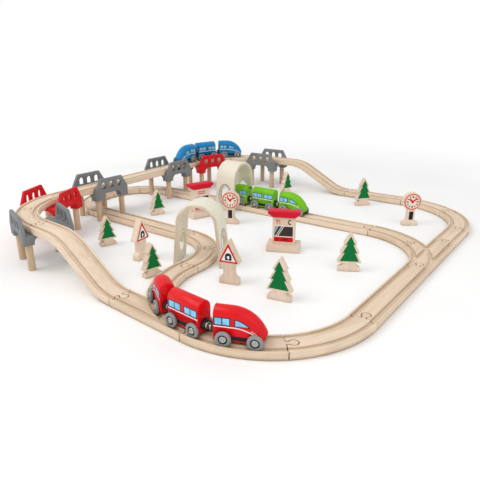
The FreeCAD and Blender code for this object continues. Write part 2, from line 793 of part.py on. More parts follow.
def tunnel_arch():
    """Bent plywood: two legs that lean in to a round crown, with a porthole each."""
    crown = number(dim("tunnel_crown"))
    wall = number(dim("tunnel_wall"))
    top = number(dim("tunnel_height"))
    foot = number(dim("tunnel_width")) / 2
    centre = top - crown
    outer = tangent_point(crown, centre, foot)
    inner = tangent_point(crown - wall, centre, foot - wall)
    steps = [
        ((dim("tunnel_width") / 2, 0.0), None), (outer, (0.0, top)),
        ((-outer[0], outer[1]), None), ((-dim("tunnel_width") / 2, 0.0), None),
        ((-(dim("tunnel_width") / 2 - dim("tunnel_wall")), 0.0), None),
        ((-inner[0], inner[1]), (0.0, top - wall)), (inner, None),
        ((dim("tunnel_width") / 2 - dim("tunnel_wall"), 0.0), None),
    ]
    hoop = extruded("tunnel_hoop", "XZ_Plane", steps, dim("tunnel_depth"))
    oval = doc.addObject("Part::Ellipse", "porthole_oval")
    bind(oval, MajorRadius=dim("porthole_height") / 2, MinorRadius=dim("porthole_width") / 2)
    oval.Placement = Placement(Vector(-60, 0, number(dim("porthole_centre"))),
                               Rotation(Vector(0, 1, 0), -90))
    oval.setExpression("Placement.Base.z", "dims.porthole_centre")
    porthole = doc.addObject("Part::Extrusion", "porthole")
    porthole.Base = oval
    porthole.DirMode = "Custom"
    porthole.Dir = Vector(1, 0, 0)
    porthole.LengthFwd = 120
    porthole.Solid = True
    return cut("tunnel_arch", hoop, [porthole])


def fir_tree(name, scale):
    """A board with three tiers of branches on a foot with a waisted neck."""
    half = dim("tree_base_half") * scale
    neck_half = dim("tree_neck_half") * scale
    foot = dim("tree_base_height") * scale
    skirt = dim("tree_skirt") * scale
    top = dim("tree_height") * scale
    middle = dim("tree_middle_height") * scale
    upper = dim("tree_upper_height") * scale
    shoulder = (number(half + neck_half) / 2 - 1, number(foot) + 2.0)
    right = [
        ((half, 0.0), None), ((half, foot), shoulder),
        ((neck_half, skirt), None), ((dim("tree_half") * scale, skirt), None),
        ((dim("tree_low_notch") * scale, middle), None),
        ((dim("tree_middle_half") * scale, middle), None),
        ((dim("tree_middle_notch") * scale, upper), None),
        ((dim("tree_upper_half") * scale, upper), None),
        ((dim("tree_tip_half"), top - 1.2), (0.0, number(top))),
    ]
    return extruded(name, "XZ_Plane", whole_outline(right), dim("tree_thickness"))


def tunnel_sign():
    """A triangular board on a post that flares into its foot."""
    foot = dim("sign_foot_half")
    foot_top = dim("sign_foot_height")
    post = dim("sign_post_half")
    board = dim("sign_board_half")
    board_foot = dim("sign_board_foot")
    top = dim("sign_height")
    right = [
        ((foot, 0.0), None),
        ((foot, foot_top), (number(post) + 2.0, number(foot_top) + 2.5)),
        ((post, foot_top + dim("sign_flare")), None), ((post, board_foot), None),
        ((board - 1.5, board_foot), (number(board) - 0.1, number(board_foot) + 0.9)),
        ((board - 0.2, board_foot + 3.5), None), ((2.0, top - 1.5), (0.0, number(top))),
    ]
    return extruded("tunnel_sign", "XZ_Plane", whole_outline(right), dim("sign_thickness"))


def clock_post():
    """A disc on a post that flares into its foot."""
    foot = dim("clock_foot_half")
    foot_top = dim("clock_foot_height")
    post = dim("clock_post_half")
    radius = number(dim("clock_radius"))
    centre = number(dim("clock_height")) - radius
    meeting = centre - math.sqrt(radius ** 2 - number(post) ** 2)
    right = [
        ((foot, 0.0), None),
        ((foot, foot_top), (number(post) + 2.0, number(foot_top) + 2.5)),
        ((post, foot_top + dim("clock_flare")), None),
        ((post, meeting), (0.0, centre + radius)),
    ]
    return extruded("clock_post", "XZ_Plane", whole_outline(right), dim("clock_thickness"))


def whole_outline(right):
    """Closes a right-hand outline with its mirror image. Steps run up the right
    side; the last one may be a round stretch across the top."""
    left = []
    for index in range(len(right) - 1, -1, -1):
        (x, y), _ = right[index]
        through = right[index - 1][1] if index > 0 else None
        left.append(((-x, y), (-through[0], through[1]) if through else None))
    return right + left


def station_stand():
    """A block foot with an upright booth on it."""
    base_width = dim("station_base_width")
    base_depth = dim("station_base_depth")
    base = box("station_base", base_width, base_depth, dim("station_base_height"),
               -base_width / 2, -base_depth / 2, 0)
    booth = box("station_booth", dim("booth_width"), dim("booth_depth"),
                dim("booth_height"), -dim("booth_width") / 2, -dim("booth_depth") / 2, 0)
    return fuse("station_stand", [base, booth])


def station_roof():
    """A boat-shaped canopy with rounded ends that sits on the booth."""
    top = dim("booth_height") + dim("roof_height")
    foot = dim("booth_height")
    half = dim("roof_width") / 2
    tip = (number(half), number(top) - 4.0)
    right = [
        ((dim("roof_foot_width") / 2, foot), None),
        ((half - 2.6, top - dim("roof_lip")), tip), ((half - 2, top), None),
    ]
    return extruded("station_roof", "XZ_Plane", whole_outline(right), dim("roof_depth"))


def facing(x, y, normal):
    """A pose whose -Y side looks along the given heading."""
    return at(x, y, normal + 90)


arch = tunnel_arch()
copies("tunnel_arches", [(arch, at(13.5, -128.0, 24.0)), (arch, at(-148.0, 176.0, 92.0))])
STATIONS = [facing(95.0, 8.0, -64.6), facing(-167.0, 74.0, -18.0)]
stand = station_stand()
roof = station_roof()
copies("station_stands", [(stand, spot) for spot in STATIONS])
copies("station_roofs", [(roof, spot) for spot in STATIONS])
large_tree = fir_tree("large_fir_tree", 1.0)
small_tree = fir_tree("small_fir_tree", dim("small_tree"))
TREES = [
    (small_tree, (-183.0, -174.0, -16.0)), (small_tree, (-251.0, 22.0, -16.0)),
    (small_tree, (-11.0, -223.0, -10.0)), (large_tree, (200.0, -169.0, -78.0)),
    (large_tree, (234.0, -11.0, -60.0)), (large_tree, (89.0, 373.0, -41.0)),
    (small_tree, (-118.0, 358.0, -18.0)),
]
copies("fir_trees", [(tree, facing(*spot)) for tree, spot in TREES])
sign = tunnel_sign()
copies("tunnel_signs", [(sign, facing(107.0, -168.5, -74.0)), (sign, facing(-81.0, -182.0, 8.0))])
clock = clock_post()
copies("clock_posts", [(clock, facing(-77.0, 70.0, -68.0)), (clock, facing(232.0, 289.0, -51.0))])

# ----------------------------------------------------------------------- cars
# A car's frame has X forward, its origin under the middle of its wheelbase and
# z = 0 at the underside of the track.

half_width = dim("car_width") / 2
bottom = dim("car_bottom")
roof_centre = dim("car_top") - half_width
axle_height = thick - dim("groove_depth") + dim("wheel_float") + dim("wheel_radius")
half_wheelbase = dim("wheelbase") / 2
half_engine = dim("engine_length") / 2
half_coach = dim("coach_length") / 2


def roof_section(low, high):
    """A car's cross-section: straight sides and a half-round roof."""
    shoulder = high - half_width
    return [((-half_width, low), None), ((half_width, low), None),
            ((half_width, shoulder), (0.0, number(high))), ((-half_width, shoulder), None)]


def engine_shape():
    """The half-round roof runs on down a big arc to the tip of the nose."""
    nose = dim("nose_radius")
    centre_z = dim("car_top") - nose
    tip_x = number(half_engine)
    tip_z = number(dim("nose_tip_height"))
    lift = tip_z - number(centre_z)
    centre_x = tip_x - math.sqrt(number(nose) ** 2 - lift ** 2)
    middle = math.radians(55)
    through = (centre_x + number(nose) * math.cos(middle),
               number(centre_z) + number(nose) * math.sin(middle))
    side = extruded("engine_side", "XZ_Plane", [
        ((-half_engine, bottom), None), ((half_engine - dim("nose_tuck"), bottom), None),
        ((half_engine, dim("nose_tip_height")), through),
        ((centre_x, dim("car_top")), None), ((-half_engine, dim("car_top")), None),
    ], dim("car_width"))
    envelope = new_body("engine_envelope")
    back = outline_sketch(envelope, "YZ_Plane", "engine_back", roof_section(0.0, nose))
    pad(envelope, back, "engine_back_pad", tip_x + centre_x + 1, symmetric=False).Reversed = True
    turn = outline_sketch(envelope, "YZ_Plane", "engine_turn", roof_section(0.0, nose))
    crown = envelope.newObject("PartDesign::Revolution", "engine_crown")
    crown.Profile = turn
    crown.ReferenceAxis = (turn, ["H_Axis"])
    crown.Angle = 90
    envelope.Placement = Placement(Vector(centre_x, 0, number(centre_z)), Rotation())
    shape = doc.addObject("Part::MultiCommon", "engine_shape")
    shape.Shapes = [side, envelope]
    return shape


def body_cuts(name, length, cup_ends):
    """The channel for the sill, the cup bores and room for the axles."""
    clearance = dim("fit_clearance")
    sill = sill_length(length) + clearance * 2
    channel_width = dim("sill_width") + clearance * 2
    tools = [box(name + "_channel", sill, channel_width, dim("sill_height") + clearance + 1,
                 -sill / 2, -channel_width / 2, bottom - 1)]
    for end in cup_ends:
        depth = dim("cup_depth") + clearance
        start = length / 2 - depth if end > 0 else -length / 2 - 1
        tools.append(cylinder("%s_bore_%d" % (name, end + 2), dim("cup_radius") + clearance,
                              depth + 1, start, 0.0, dim("cup_height"), ALONG_X))
    for end in (-1, 1):
        tools.append(cylinder("%s_axle_room_%d" % (name, end + 2),
                              dim("axle_radius") + dim("axle_room"), dim("car_width") + 2,
                              half_wheelbase * end, -half_width - 1, axle_height, ALONG_Y))
    return tools


def sill_length(length):
    return length - dim("sill_inset") * 2


def chassis(name, length, cup_ends):
    """The black sill under the body, with a cup at each end that couples."""
    sill = sill_length(length)
    solids = [box(name + "_sill", sill, dim("sill_width"), dim("sill_height"),
                  -sill / 2, -dim("sill_width") / 2, bottom)]
    tools = []
    for end in cup_ends:
        cup_length = dim("cup_depth") + dim("cup_proud")
        start = length / 2 - dim("cup_depth") if end > 0 else -length / 2 - dim("cup_proud")
        cup = cylinder("%s_cup_%d" % (name, end + 2), dim("cup_radius"), cup_length,
                       start, 0.0, dim("cup_height"), ALONG_X)
        solids.append(cup)
        tongue = box("%s_tongue_%d" % (name, end + 2), dim("sill_inset") + dim("cup_depth"),
                     dim("tongue_width"), dim("tongue_height"),
                     sill / 2 - dim("cup_depth") if end > 0 else -length / 2,
                     -dim("tongue_width") / 2, bottom + dim("sill_height") - dim("tongue_height"))
        solids.append(tongue)
        bore_depth = dim("magnet_length") - dim("magnet_proud") + dim("axle_clearance")
        rim = length / 2 + dim("cup_proud")
        bore_start = rim - bore_depth if end > 0 else -rim - 1
        tools.append(cylinder("%s_magnet_bore_%d" % (name, end + 2),
                              dim("magnet_radius") + dim("axle_clearance"), bore_depth + 1,
                              bore_start, 0.0, dim("cup_height"), ALONG_X))
    for end in (-1, 1):
        tools.append(cylinder("%s_axle_hole_%d" % (name, end + 2),
                              dim("axle_radius") + dim("axle_clearance"),
                              dim("sill_width") + 2, half_wheelbase * end,
                              -dim("sill_width") / 2 - 1, axle_height, ALONG_Y))
    return cut(name, fuse(name + "_whole", solids), tools)


def car_magnets(name, length, cup_ends):
    """A disc magnet in each cup, with a small centre dimple."""
    magnets = []
    reach = dim("cup_proud") + dim("magnet_proud")
    for end in cup_ends:
        start = (length / 2 + reach - dim("magnet_length") if end > 0 else -length / 2 - reach)
        magnets.append(cylinder("%s_%d" % (name, end + 2), dim("magnet_radius"),
                                dim("magnet_length"), start, 0.0, dim("cup_height"), ALONG_X))
    group = doc.addObject("Part::Compound", name)
    group.Links = magnets
    return group


def wheelset():
    """Two wheels pressed on an axle whose ends are capped."""
    outside = dim("wheel_offset") + dim("wheel_width") / 2
    solids = []
    for side in (-1, 1):
        label = "left" if side > 0 else "right"
        inner_face = dim("wheel_offset") - dim("wheel_width") / 2
        disc = cylinder("wheel_disc_" + label, dim("wheel_radius"), dim("wheel_width"),
                        0.0, inner_face if side > 0 else -outside, 0.0, ALONG_Y)
        recess = cylinder("wheel_recess_" + label, dim("recess_radius"),
                          dim("recess_depth") + 1, 0.0,
                          outside - dim("recess_depth") if side > 0 else -outside - 1,
                          0.0, ALONG_Y)
        bore = cylinder("wheel_bore_" + label, dim("axle_radius"), dim("wheel_width") + 2,
                        0.0, inner_face - 1 if side > 0 else -outside - 1, 0.0, ALONG_Y)
        solids.append(cut("wheel_" + label, disc, [recess, bore]))
    cap_end = dim("cap_start") + dim("cap_length")
    rod = cylinder("axle_rod", dim("axle_radius"), cap_end * 2, 0.0, -cap_end, 0.0, ALONG_Y)
    caps = [
        cylinder("axle_cap_left", dim("cap_radius"), dim("cap_length"), 0.0,
                 dim("cap_start"), 0.0, ALONG_Y),
        cylinder("axle_cap_right", dim("cap_radius"), dim("cap_length"), 0.0, -cap_end,
                 0.0, ALONG_Y),
    ]
    solids.append(fuse("axle", [rod] + caps))
    group = doc.addObject("Part::Compound", "wheelset")
    group.Links = solids
    return group


engine_body = cut("engine_body", engine_shape(), body_cuts("engine", half_engine * 2, [-1]))
coach_block = extruded("coach_block", "YZ_Plane", roof_section(bottom, dim("car_top")),
                       dim("coach_length"))
coach_body = cut("coach_body", coach_block, body_cuts("coach", half_coach * 2, [-1, 1]))
engine_chassis = chassis("engine_chassis", half_engine * 2, [-1])
coach_chassis = chassis("coach_chassis", half_coach * 2, [-1, 1])
engine_magnets = car_magnets("engine_magnets", half_engine * 2, [-1])
coach_magnets = car_magnets("coach_magnets", half_coach * 2, [-1, 1])
wheels = wheelset()


def car(name, is_engine, pose):
    """The five sub-parts of one car, at its pose on the track."""
    forward = Placement(Vector(number(half_wheelbase), 0, number(axle_height)), Rotation())
    rearward = Placement(Vector(-number(half_wheelbase), 0, number(axle_height)), Rotation())
    copies(name + "_body", [(engine_body if is_engine else coach_body, pose)])
    copies(name + "_chassis", [(engine_chassis if is_engine else coach_chassis, pose)])
    copies(name + "_magnets", [(engine_magnets if is_engine else coach_magnets, pose)])
    copies(name + "_front_wheels", [(wheels, pose * forward)])
    copies(name + "_rear_wheels", [(wheels, pose * rearward)])


def on_arc(centre, radius, angle, height=0.0, backwards=False):
    """A car whose wheels stand on an arc, its middle at the given polar angle."""
    middle = math.sqrt(radius ** 2 - number(half_wheelbase) ** 2)
    spot = step(centre, angle, middle)
    return at(*spot, angle + 90 + (180 if backwards else 0), height)


# red train: nose first round the front corner, its tail on the right switch
red_angles = [number(dim("red_front_angle") - dim("red_angle_step") * count) for count in range(3)]
car("red_front_engine", True, on_arc(front_centre, front_radius, red_angles[0]))
car("red_coach", False, on_arc(front_centre, front_radius, red_angles[1]))
car("red_rear_engine", True, on_arc(front_centre, front_radius, red_angles[2], backwards=True))

# green train: on the middle run, nose towards the first switch
pitch = number(half_engine + half_coach + dim("car_gap"))
green_points = [step(middle_start, middle_heading, number(dim("green_start")) + pitch * count)
                for count in range(3)]
car("green_front_engine", True, at(*green_points[0], middle_heading + 180))
car("green_coach", False, at(*green_points[1], middle_heading + 180))
car("green_rear_engine", True, at(*green_points[2], middle_heading))

# blue train: on the raised run, its leading engine just past the back corner
blue_start = ramp_heading - 90
blue_spot = step(back_end, left_heading, number(dim("blue_lead")))
blue_coach_angle = blue_start + number(dim("blue_coach_angle"))
blue_rear_angle = blue_start + number(dim("blue_rear_angle"))
car("blue_front_engine", True, at(*blue_spot, left_heading, deck))
car("blue_coach", False, on_arc(back_centre, back_radius, blue_coach_angle, deck))
car("blue_rear_engine", True, on_arc(back_centre, back_radius, blue_rear_angle, deck, True))

# --------------------------------------------------------------------- export
doc.recompute()
for feature in doc.Objects:
    if "Invalid" in feature.State or "Error" in feature.State:
        raise RuntimeError("%s failed to compute: %s" % (feature.Name, feature.getStatusString()))
for item in nodes:
    if item.Shape.isNull() or not item.Shape.isValid():
        raise RuntimeError("%s has no valid shape" % item.Label)
os.makedirs("parts", exist_ok=True)
for item in nodes:
    item.Shape.exportStep("parts/%s.step" % item.Label)
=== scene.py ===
import json
import math

import bmesh
import bpy
import numpy as np
from mathutils import Matrix, Vector

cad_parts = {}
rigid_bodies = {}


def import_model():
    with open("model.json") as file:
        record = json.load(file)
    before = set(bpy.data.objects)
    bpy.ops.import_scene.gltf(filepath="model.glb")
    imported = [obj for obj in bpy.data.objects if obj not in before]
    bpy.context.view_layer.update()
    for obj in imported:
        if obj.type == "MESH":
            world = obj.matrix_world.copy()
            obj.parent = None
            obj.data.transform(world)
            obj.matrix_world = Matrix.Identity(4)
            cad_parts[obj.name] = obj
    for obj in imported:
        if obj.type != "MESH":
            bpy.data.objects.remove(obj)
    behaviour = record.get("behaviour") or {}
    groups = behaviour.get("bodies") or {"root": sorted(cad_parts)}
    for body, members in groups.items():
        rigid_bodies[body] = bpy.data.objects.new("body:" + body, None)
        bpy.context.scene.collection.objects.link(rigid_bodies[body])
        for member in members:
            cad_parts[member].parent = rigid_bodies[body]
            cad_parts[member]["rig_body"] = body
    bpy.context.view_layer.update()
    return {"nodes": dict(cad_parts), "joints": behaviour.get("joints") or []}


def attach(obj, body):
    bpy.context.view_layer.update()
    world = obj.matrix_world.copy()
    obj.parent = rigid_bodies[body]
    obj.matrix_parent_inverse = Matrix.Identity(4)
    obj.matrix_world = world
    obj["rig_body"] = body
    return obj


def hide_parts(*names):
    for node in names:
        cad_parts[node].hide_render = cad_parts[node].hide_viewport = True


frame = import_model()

MM = 0.001
SIDES = (-1, 1)
ROUNDED_ABOVE = math.radians(32)
VENEER_WAVES = 31.4                     # phase of the veneer lines across a board's thickness
GRAIN_STEP = Vector((311.0, 47.0, 29.0))  # shifts the grain from one solid to the next
TINT_STEP = 0.618
INK_LIFT = 0.07                         # each layer of print stands this far over the last
INK_ROOT = 0.25                         # how far prints reach into the face
RING_STEPS = 64
LATHE_STEPS = 48
joints = {joint["name"]: joint for joint in frame["joints"]}

# ------------------------------------------------------------------ materials


class Shader:
    """Builds a node material a step at a time. Coordinates are in millimetres."""

    def __init__(self, name, roughness=0.5, own_grain=True):
        self.material = bpy.data.materials.new(name)
        self.material.use_nodes = True
        self.tree = self.material.node_tree
        self.surface = self.tree.nodes["Principled BSDF"]
        self.surface.inputs["Roughness"].default_value = roughness
        if own_grain:
            source = self.add("ShaderNodeAttribute")
            source.attribute_name = "grain"
            self.place = source.outputs["Vector"]
        else:
            source = self.add("ShaderNodeTexCoord")
            self.place = self.scaled(source.outputs["Object"], (1000, 1000, 1000))

    def add(self, kind):
        return self.tree.nodes.new(kind)

    def link(self, output, target):
        self.tree.links.new(output, target)

    def scaled(self, vector, scale):
        node = self.add("ShaderNodeMapping")
        node.inputs["Scale"].default_value = scale
        self.link(vector, node.inputs["Vector"])
        return node.outputs["Vector"]

    def noise(self, scale, detail=3.0, distortion=0.0, rough=0.5):
        node = self.add("ShaderNodeTexNoise")
        node.inputs["Scale"].default_value = 1.0
        node.inputs["Detail"].default_value = detail
        node.inputs["Roughness"].default_value = rough
        node.inputs["Distortion"].default_value = distortion
        self.link(self.scaled(self.place, scale), node.inputs["Vector"])
        return node.outputs["Fac"]

    def ramp(self, factor, stops):
        """Stops are (position, value) pairs; a value is a colour or a grey level."""
        node = self.add("ShaderNodeValToRGB")
        while len(node.color_ramp.elements) < len(stops):
            node.color_ramp.elements.new(0.5)
        for element, (position, value) in zip(node.color_ramp.elements, stops):
            element.position = position
            colour = value if isinstance(value, tuple) else (value, value, value)
            element.color = (*colour, 1.0)
        self.link(factor, node.inputs["Fac"])
        return node.outputs["Color"]

    def mix(self, factor, first, second, blend="MIX"):
        node = self.add("ShaderNodeMix")
        node.data_type = "RGBA"
        node.blend_type = blend
        for value, name in ((factor, 0), (first, 6), (second, 7)):
            if isinstance(value, (int, float)):
                node.inputs[name].default_value = value
            elif isinstance(value, tuple):
                node.inputs[name].default_value = (*value, 1.0)
            else:
                self.link(value, node.inputs[name])
        return node.outputs[2]

    def attribute(self, name):
        node = self.add("ShaderNodeAttribute")
        node.attribute_name = name
        return node.outputs["Fac"]

    def bump(self, height, distance, strength=1.0):
        node = self.add("ShaderNodeBump")
        node.inputs["Distance"].default_value = distance * MM
        node.inputs["Strength"].default_value = strength
        self.link(height, node.inputs["Height"])
        self.link(node.outputs["Normal"], self.surface.inputs["Normal"])

    def colour(self, output):
        self.link(output, self.surface.inputs["Base Color"])

    def roughness(self, factor, low, high):
        self.link(self.ramp(factor, [(0.25, low), (0.75, high)]), self.surface.inputs["Roughness"])


def shade(colour, amount):
    """A colour made lighter or darker."""
    return tuple(min(1.0, part * amount) for part in colour)


def wood(name, pale, deep, rough=0.5, painted_shade=0.0):
    """Planed wood: broad bands, fine streaks and short dark pores along the grain,
    each plank a little lighter or darker than the next. Painted shade, from an
    ambient occlusion node, browns the hollows, joints and floor contact lines."""
    made = Shader(name, rough)
    bands = made.noise((0.006, 0.11, 0.11), 3.0, 0.6)
    streaks = made.noise((0.03, 1.1, 1.1), 5.0, 0.3, 0.65)
    pores = made.noise((0.22, 3.4, 3.4), 2.0)
    base = made.ramp(bands, [(0.30, pale), (0.52, shade(pale, 0.95)), (0.72, deep)])
    lines = made.ramp(streaks, [(0.30, 0.90), (0.50, 1.0), (0.74, 1.05)])
    flecks = made.ramp(pores, [(0.26, 0.78), (0.38, 1.0)])
    tint = made.ramp(made.attribute("tint"), [(0.0, (0.94, 0.90, 0.85)), (1.0, (1.04, 1.03, 1.02))])
    colour = made.mix(1.0, base, lines, "MULTIPLY")
    colour = made.mix(0.75, colour, flecks, "MULTIPLY")
    colour = made.mix(1.0, colour, tint, "MULTIPLY")
    # painted shade: ambient occlusion darkens grooves, joints and floor contact lines towards brown
    if painted_shade:
        hollow = made.add("ShaderNodeAmbientOcclusion")
        hollow.inputs["Distance"].default_value = 7 * MM
        hollow.samples = 8
        shadow = made.ramp(hollow.outputs["AO"], [(0.42, (0.46, 0.34, 0.23)), (0.86, (1.0, 1.0, 1.0))])
        colour = made.mix(painted_shade, colour, shadow, "MULTIPLY")
    made.colour(colour)
    made.roughness(streaks, rough - 0.08, rough + 0.1)
    made.bump(streaks, 0.12, 0.5)
    return made.material


def paint(name, colour, rough, coat, mottle=0.06, bumps=0.05):
    """Sprayed paint: a faint mottle, fine orange peel and a few duller patches."""
    made = Shader(name, rough)
    cloud = made.noise((0.05, 0.05, 0.05), 3.0)
    grit = made.noise((1.6, 1.6, 1.6), 3.0)
    base = made.ramp(cloud, [(0.3, shade(colour, 1 - mottle)), (0.7, shade(colour, 1 + mottle))])
    speck = made.ramp(grit, [(0.30, 0.92), (0.55, 1.0)])
    made.colour(made.mix(1.0, base, speck, "MULTIPLY"))
    made.roughness(cloud, rough - 0.05, rough + 0.07)
    made.bump(grit, bumps, 0.6)
    made.surface.inputs["Specular IOR Level"].default_value = 0.22
    made.surface.inputs["Coat Weight"].default_value = coat
    made.surface.inputs["Coat Roughness"].default_value = 0.12
    return made.material


def ink(name, colour, rough=0.45):
    """Print on a painted or wooden face, slightly uneven."""
    made = Shader(name, rough, own_grain=False)
    made.surface.inputs["Specular IOR Level"].default_value = 0.15
    cloud = made.noise((0.35, 0.35, 0.35), 4.0)
    made.colour(made.ramp(cloud, [(0.3, shade(colour, 0.90)), (0.7, shade(colour, 1.08))]))
    made.roughness(cloud, rough - 0.08, rough + 0.08)
    made.bump(made.noise((4.0, 4.0, 4.0), 2.0), 0.02, 0.5)
    return made.material


def pane_ink(name, colour):
    """Sky-blue windows with a paler sheen across them."""
    made = Shader(name, 0.3, own_grain=False)
    cloud = made.noise((0.10, 0.10, 0.22), 2.0)
    made.colour(made.ramp(cloud, [(0.35, shade(colour, 0.86)), (0.65, shade(colour, 1.15))]))
    made.roughness(cloud, 0.22, 0.38)
    return made.material


def plastic(name, colour, rough, grain_depth):
    """Moulded plastic with a spark-eroded texture."""
    made = Shader(name, rough)
    grit = made.noise((2.2, 2.2, 2.2), 4.0, 0.0, 0.7)
    cloud = made.noise((0.12, 0.12, 0.12), 2.0)
    base = made.ramp(cloud, [(0.3, shade(colour, 0.9)), (0.7, shade(colour, 1.1))])
    speck = made.ramp(grit, [(0.30, 0.80), (0.60, 1.1)])
    made.colour(made.mix(1.0, base, speck, "MULTIPLY"))
    made.roughness(grit, rough - 0.1, rough + 0.12)
    made.bump(grit, grain_depth, 0.8)
    return made.material


def metal(name, colour, rough):
    """Bright plating with fine turning marks and handling smudges."""
    made = Shader(name, rough)
    made.surface.inputs["Metallic"].default_value = 1.0
    smudge = made.noise((0.5, 0.5, 0.5), 3.0)
    marks = made.noise((0.3, 9.0, 9.0), 2.0)
    made.colour(made.ramp(smudge, [(0.3, shade(colour, 0.84)), (0.7, colour)]))
    made.roughness(smudge, rough - 0.06, rough + 0.12)
    made.bump(marks, 0.01, 0.4)
    return made.material


def bent_ply(name, colour):
    """The smooth cream faces of bent plywood."""
    made = Shader(name, 0.55)
    streaks = made.noise((0.02, 0.5, 0.5), 4.0, 0.4)
    pores = made.noise((0.15, 2.6, 2.6), 2.0)
    face = made.ramp(streaks, [(0.3, shade(colour, 0.95)), (0.7, shade(colour, 1.03))])
    flecks = made.ramp(pores, [(0.27, 0.88), (0.38, 1.0)])
    made.colour(made.mix(0.5, face, flecks, "MULTIPLY"))
    made.roughness(streaks, 0.48, 0.62)
    made.bump(streaks, 0.08, 0.4)
    return made.material


def ply_edge(name, pale, dark):
    """Veneers showing as thin lines at the cut edges of plywood."""
    made = Shader(name, 0.6)
    layers = made.add("ShaderNodeMath")
    layers.operation = "MULTIPLY"
    layers.inputs[1].default_value = VENEER_WAVES
    made.link(made.attribute("layer"), layers.inputs[0])
    wave = made.add("ShaderNodeMath")
    wave.operation = "SINE"
    made.link(layers.outputs[0], wave.inputs[0])
    lines = made.ramp(wave.outputs[0], [(0.0, dark), (0.5, pale)])
    flecks = made.ramp(made.noise((1.2, 1.2, 1.2), 3.0), [(0.30, 0.85), (0.5, 1.0)])
    made.colour(made.mix(1.0, lines, flecks, "MULTIPLY"))
    made.bump(wave.outputs[0], 0.05, 0.4)
    return made.material


# the last argument sets how strongly painted shade browns the hollows of tracks and boards
BEECH = wood("beech", (0.79, 0.645, 0.495), (0.67, 0.52, 0.375), painted_shade=0.85)
BOARD = wood("board_wood", (0.80, 0.655, 0.53), (0.70, 0.545, 0.42), painted_shade=0.3)
DOWEL = wood("dowel_wood", (0.64, 0.475, 0.32), (0.54, 0.38, 0.245))
PLY = bent_ply("tunnel_ply", (0.76, 0.715, 0.585))
PLY_EDGE = ply_edge("tunnel_ply_edge", (0.74, 0.665, 0.52), (0.55, 0.45, 0.31))
GREY = paint("bridge_grey_paint", (0.205, 0.215, 0.222), 0.6, 0.0, 0.10, 0.10)
RED = paint("bridge_red_paint", (0.64, 0.003, 0.008), 0.5, 0.0, 0.05, 0.08)
ROOF_RED = paint("roof_red_paint", (0.62, 0.003, 0.022), 0.5, 0.0, 0.05, 0.08)
CAR_PAINT = {
    "red": paint("car_red_paint", (0.70, 0.002, 0.006), 0.38, 0.08),
    "green": paint("car_green_paint", (0.17, 0.50, 0.004), 0.38, 0.08),
    "blue": paint("car_blue_paint", (0.003, 0.215, 0.50), 0.38, 0.08),
}
CHASSIS = plastic("chassis_black_plastic", (0.010, 0.010, 0.011), 0.45, 0.03)
WHEEL = plastic("wheel_grey_plastic", (0.25, 0.26, 0.265), 0.65, 0.12)
HUB = plastic("wheel_hub_plastic", (0.018, 0.018, 0.02), 0.5, 0.03)
CHROME = metal("cap_chrome", (0.47, 0.47, 0.44), 0.17)
NICKEL = metal("magnet_nickel", (0.60, 0.57, 0.50), 0.26)
BLACK_INK = ink("black_ink", (0.018, 0.018, 0.02))
WHITE_INK = ink("white_ink", (0.86, 0.86, 0.84))
RED_INK = ink("red_ink", (0.64, 0.004, 0.010))
GREEN_INK = ink("green_ink", (0.0, 0.165, 0.036))
SCREEN_INK = ink("screen_ink", (0.045, 0.030, 0.026), 0.35)
PALE_INK = ink("dial_ink", (0.86, 0.70, 0.585))
GREY_INK = ink("grey_ink", (0.33, 0.34, 0.35))
RIM_INK = ink("rim_ink", (0.075, 0.085, 0.09))
PANE_INK = pane_ink("window_ink", (0.20, 0.53, 0.80))

# -------------------------------------------------------------- mesh handling


def loose_parts(mesh):
    """The vertices of each separate solid of a bmesh."""
    seen = set()
    groups = []
    for start in mesh.verts:
        if start.index in seen:
            continue
        seen.add(start.index)
        group, waiting = [], [start]
        while waiting:
            vertex = waiting.pop()
            group.append(vertex)
            for edge in vertex.link_edges:
                other = edge.other_vert(vertex)
                if other.index not in seen:
                    seen.add(other.index)
                    waiting.append(other)
        groups.append(group)
    return groups


def facing_of(group):
    """The heading of the normal that the largest area of upright faces shares."""
    areas = {}
    for face in {face for vertex in group for face in vertex.link_faces}:
        normal = face.normal
        if abs(normal.z) < 0.02:
            heading = round(math.degrees(math.atan2(normal.y, normal.x)) % 180, 1) % 180
            areas[heading] = areas.get(heading, 0.0) + face.calc_area()
    return math.radians(max(areas, key=areas.get)) if areas else 0.0


def long_axis(group):
    """The heading of a solid's longest horizontal direction."""
    points = np.array([vertex.co[:2] for vertex in group])
    spread = np.linalg.eigh(np.cov((points - points.mean(0)).T))[1][:, 1]
    return math.atan2(spread[1], spread[0])


def frame_at(group, heading):
    """A frame on the floor under a solid, its X along a heading, in metres."""
    turn = Matrix.Rotation(heading, 4, "Z")
    local = [turn.inverted() @ vertex.co for vertex in group]
    low = Vector(min(point[axis] for point in local) for axis in range(3))
    high = Vector(max(point[axis] for point in local) for axis in range(3))
    middle = (low + high) / 2
    middle.z = low.z
    return turn @ Matrix.Translation(middle)


def welded(node):
    """A copy of a CAD node's mesh with its seams closed and flat faces joined."""
    mesh = bmesh.new()
    mesh.from_mesh(frame["nodes"][node].data)
    bmesh.ops.remove_doubles(mesh, verts=mesh.verts, dist=2e-6)
    bmesh.ops.dissolve_limit(mesh, angle_limit=math.radians(0.6), verts=mesh.verts,
                             edges=mesh.edges)
    mesh.verts.ensure_lookup_table()
    mesh.verts.index_update()
    mesh.normal_update()
    return mesh


def finish_object(name, mesh, materials, body, smooth=True):
    data = bpy.data.meshes.new(name)
    mesh.to_mesh(data)
    mesh.free()
    for material in materials:
        data.materials.append(material)
    for polygon in data.polygons:
        polygon.use_smooth = smooth
    thing = bpy.data.objects.new(name, data)
    bpy.context.scene.collection.objects.link(thing)
    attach(thing, body)
    return thing


